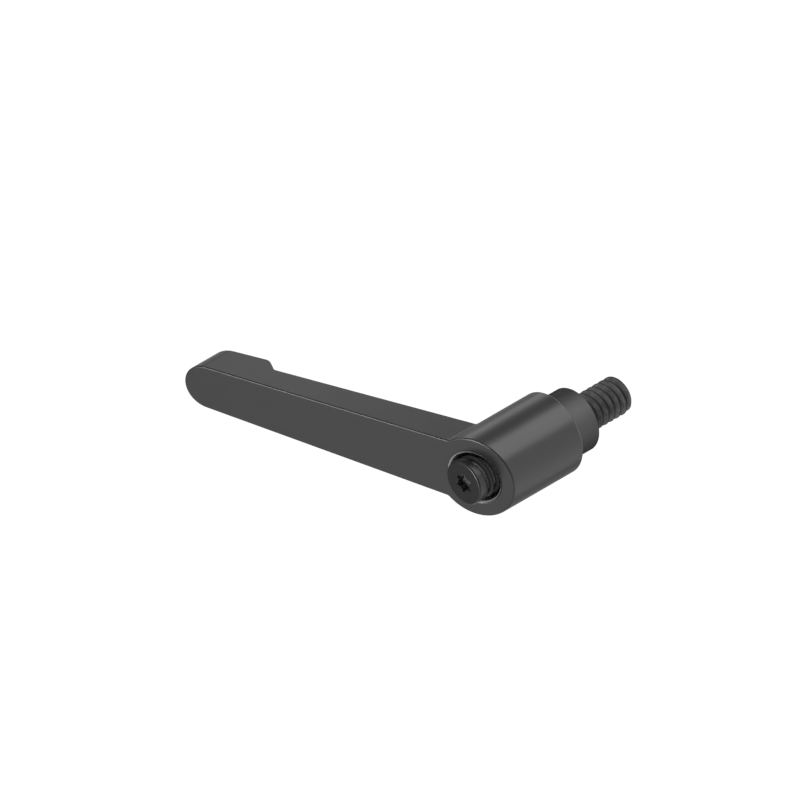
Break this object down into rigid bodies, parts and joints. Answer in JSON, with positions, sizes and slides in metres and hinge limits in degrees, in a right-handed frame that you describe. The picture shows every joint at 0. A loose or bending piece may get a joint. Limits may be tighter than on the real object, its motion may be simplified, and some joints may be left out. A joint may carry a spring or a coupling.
{
  "type": "adjustable clamping lever",
  "caption": "Small clamping lever with a slanted tapering arm, a sprung serrated hub that lifts to be re-indexed, and a threaded stud.",
  "frame": {"origin": "centre of the collar's clamping face, on the stud's axis", "axes": "+Z along the hub's axis from the stud to the screw's head, +X along the arm as seen from above, +Y to the arm's left"},
  "size_m": [0.0575, 0.014, 0.0454],
  "materials": {
    "handle_coat": "satin black coat on a zinc die casting",
    "insert_steel": "turned steel, black oxide",
    "stud_steel": "rolled thread, black oxide",
    "screw_steel": "black oxide",
    "spring_steel": "spring steel wire, darkened"
  },
  "bodies": {
    "insert": {"insert": "insert_steel", "threaded_stud": "stud_steel", "retaining_screw": "screw_steel"},
    "spring": {"spring": "spring_steel"},
    "handle": {"handle": "handle_coat"}
  },
  "joints": [
    {"name": "handle_turn", "type": "hinge", "parent": "insert", "child": "spring", "pos_m": [0, 0, 0.015], "axis": [0, 0, 1], "continuous": true},
    {"name": "handle_lift", "type": "slide", "parent": "spring", "child": "handle", "axis": [0, 0, 1], "range_m": [0, 0.003], "stiffness_N_per_m": 2500, "springref_m": -0.004, "deforming": ["spring"]}
  ]
}
